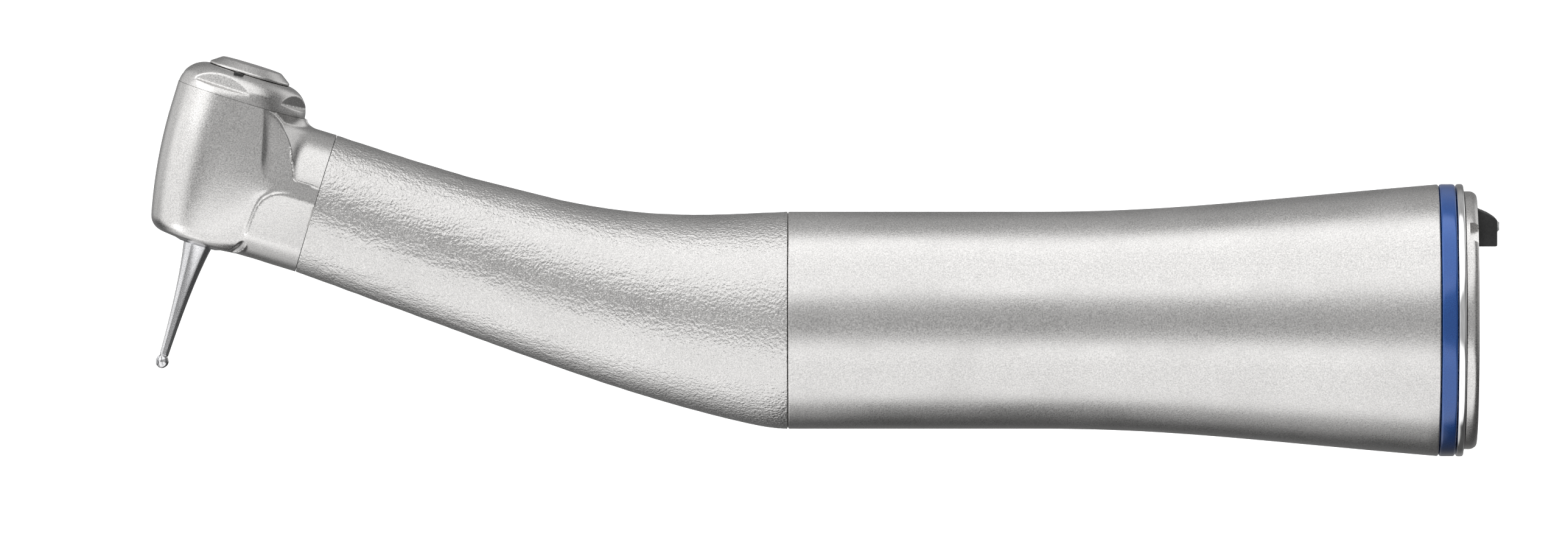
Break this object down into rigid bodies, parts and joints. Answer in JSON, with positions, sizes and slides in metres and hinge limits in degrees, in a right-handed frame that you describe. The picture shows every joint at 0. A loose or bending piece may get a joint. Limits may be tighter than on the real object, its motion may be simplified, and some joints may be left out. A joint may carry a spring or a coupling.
{
  "type": "contra angle handpiece",
  "caption": "Bent dental handpiece with a push-button head at right angles to a bur, a hammered neck, a flared grip with a blue ring, and a rear coupling for a motor.",
  "frame": {"origin": "centre of the drive dog's rear end face, on the rear shaft's axis, 17.3 mm inside the rear coupling face", "axes": "+X along the rear shaft towards the motor, +Z towards the side of the push button"},
  "size_m": [0.0997, 0.0202, 0.0297],
  "materials": {
    "blasted_steel": "satin, bead blasted",
    "hammered_steel": "satin, fine hammered",
    "polished_steel": "polished",
    "blue_lacquer": "gloss",
    "black_plastic": "satin",
    "spring_steel": "drawn wire",
    "brass": "turned",
    "glass": "clear",
    "seal_rubber": "matt",
    "bur_steel": "ground",
    "cage_brass": "stamped",
    "bearing_steel": "ground",
    "gear_steel": "hobbed"
  },
  "bodies": {
    "casing": {"head_housing": "blasted_steel", "head_cap": "blasted_steel", "neck_sleeve": "hammered_steel", "grip_sleeve": "blasted_steel", "ratio_ring": "blue_lacquer", "stop_ring": "polished_steel", "ring_nut": "blasted_steel", "coupling_liner": "polished_steel", "light_guide_holder": "black_plastic", "nose_retaining_ring": "spring_steel", "rear_bearing_housing": "brass", "front_bearing_sleeve": "brass", "light_guide": "glass", "water_tube": "polished_steel", "lower_seal_washer": "seal_rubber", "button_spring": "spring_steel", "upper_head_bearing_outer_ring": "bearing_steel", "lower_head_bearing_outer_ring": "bearing_steel", "front_bearing_a_outer_ring": "bearing_steel", "front_bearing_b_outer_ring": "bearing_steel", "rear_bearing_a_outer_ring": "bearing_steel", "rear_bearing_b_outer_ring": "bearing_steel"},
    "push_button": {"push_button": "blasted_steel"},
    "spindle": {"spindle": "gear_steel", "upper_head_bearing_inner_ring": "bearing_steel", "lower_head_bearing_inner_ring": "bearing_steel"},
    "chuck_release_ring": {"chuck_release_ring": "gear_steel"},
    "bur": {"bur": "bur_steel"},
    "front_shaft": {"front_shaft": "gear_steel", "front_shaft_head_gear": "gear_steel", "front_shaft_bend_gear": "gear_steel", "front_bearing_a_inner_ring": "bearing_steel", "front_bearing_b_inner_ring": "bearing_steel"},
    "rear_shaft": {"rear_shaft": "gear_steel", "rear_shaft_bend_gear": "gear_steel", "clutch_pin": "polished_steel", "clutch_spring": "spring_steel", "rear_bearing_a_inner_ring": "bearing_steel", "rear_bearing_b_inner_ring": "bearing_steel"},
    "drive_dog": {"drive_dog": "gear_steel"},
    "upper_head_bearing_balls": {"upper_head_bearing_balls_and_cage": "cage_brass"},
    "lower_head_bearing_balls": {"lower_head_bearing_balls_and_cage": "cage_brass"},
    "front_bearing_a_balls": {"front_bearing_a_balls_and_cage": "cage_brass"},
    "front_bearing_b_balls": {"front_bearing_b_balls_and_cage": "cage_brass"},
    "rear_bearing_a_balls": {"rear_bearing_a_balls_and_cage": "cage_brass"},
    "rear_bearing_b_balls": {"rear_bearing_b_balls_and_cage": "cage_brass"}
  },
  "joints": [
    {"name": "rear_shaft_spin", "type": "hinge", "parent": "casing", "child": "rear_shaft", "pos_m": [-0.04037, 0, 0], "axis": [1, 0, 0], "continuous": true},
    {"name": "front_shaft_spin", "type": "hinge", "parent": "casing", "child": "front_shaft", "pos_m": [-0.04037, 0, 0], "axis": [0.9563, 0, -0.2924], "continuous": true},
    {"name": "spindle_spin", "type": "hinge", "parent": "casing", "child": "spindle", "pos_m": [-0.07591, 0, 0.01086], "axis": [0.2924, 0, 0.9563], "continuous": true},
    {"name": "upper_head_bearing_balls_orbit", "type": "hinge", "parent": "casing", "child": "upper_head_bearing_balls", "pos_m": [-0.07591, 0, 0.01086], "axis": [0.2924, 0, 0.9563], "continuous": true},
    {"name": "lower_head_bearing_balls_orbit", "type": "hinge", "parent": "casing", "child": "lower_head_bearing_balls", "pos_m": [-0.07591, 0, 0.01086], "axis": [0.2924, 0, 0.9563], "continuous": true},
    {"name": "front_bearing_a_balls_orbit", "type": "hinge", "parent": "casing", "child": "front_bearing_a_balls", "pos_m": [-0.04037, 0, 0], "axis": [0.9563, 0, -0.2924], "continuous": true},
    {"name": "front_bearing_b_balls_orbit", "type": "hinge", "parent": "casing", "child": "front_bearing_b_balls", "pos_m": [-0.04037, 0, 0], "axis": [0.9563, 0, -0.2924], "continuous": true},
    {"name": "rear_bearing_a_balls_orbit", "type": "hinge", "parent": "casing", "child": "rear_bearing_a_balls", "pos_m": [-0.04037, 0, 0], "axis": [1, 0, 0], "continuous": true},
    {"name": "rear_bearing_b_balls_orbit", "type": "hinge", "parent": "casing", "child": "rear_bearing_b_balls", "pos_m": [-0.04037, 0, 0], "axis": [1, 0, 0], "continuous": true},
    {"name": "button_press", "type": "slide", "parent": "casing", "child": "push_button", "axis": [-0.2924, 0, -0.9563], "range_m": [0, 0.00075], "stiffness_N_per_m": 50, "deforming": ["button_spring"]},
    {"name": "chuck_release", "type": "slide", "parent": "spindle", "child": "chuck_release_ring", "axis": [-0.2924, 0, -0.9563], "range_m": [0, 0.00045]},
    {"name": "bur_release", "type": "slide", "parent": "spindle", "child": "bur", "axis": [-0.2924, 0, -0.9563], "range_m": [0, 0.0126]},
    {"name": "dog_retract", "type": "slide", "parent": "rear_shaft", "child": "drive_dog", "axis": [-1, 0, 0], "range_m": [0, 0.001], "stiffness_N_per_m": 50, "deforming": ["clutch_spring"]}
  ],
  "couplings": [
    {"joint": "front_shaft_spin", "follows": "rear_shaft_spin", "ratio": 1},
    {"joint": "spindle_spin", "follows": "rear_shaft_spin", "ratio": -1},
    {"joint": "upper_head_bearing_balls_orbit", "follows": "rear_shaft_spin", "ratio": -0.4},
    {"joint": "lower_head_bearing_balls_orbit", "follows": "rear_shaft_spin", "ratio": -0.4},
    {"joint": "front_bearing_a_balls_orbit", "follows": "rear_shaft_spin", "ratio": 0.4},
    {"joint": "front_bearing_b_balls_orbit", "follows": "rear_shaft_spin", "ratio": 0.4},
    {"joint": "rear_bearing_a_balls_orbit", "follows": "rear_shaft_spin", "ratio": 0.4},
    {"joint": "rear_bearing_b_balls_orbit", "follows": "rear_shaft_spin", "ratio": 0.4},
    {"joint": "chuck_release", "follows": "button_press", "ratio": 0.6}
  ]
}
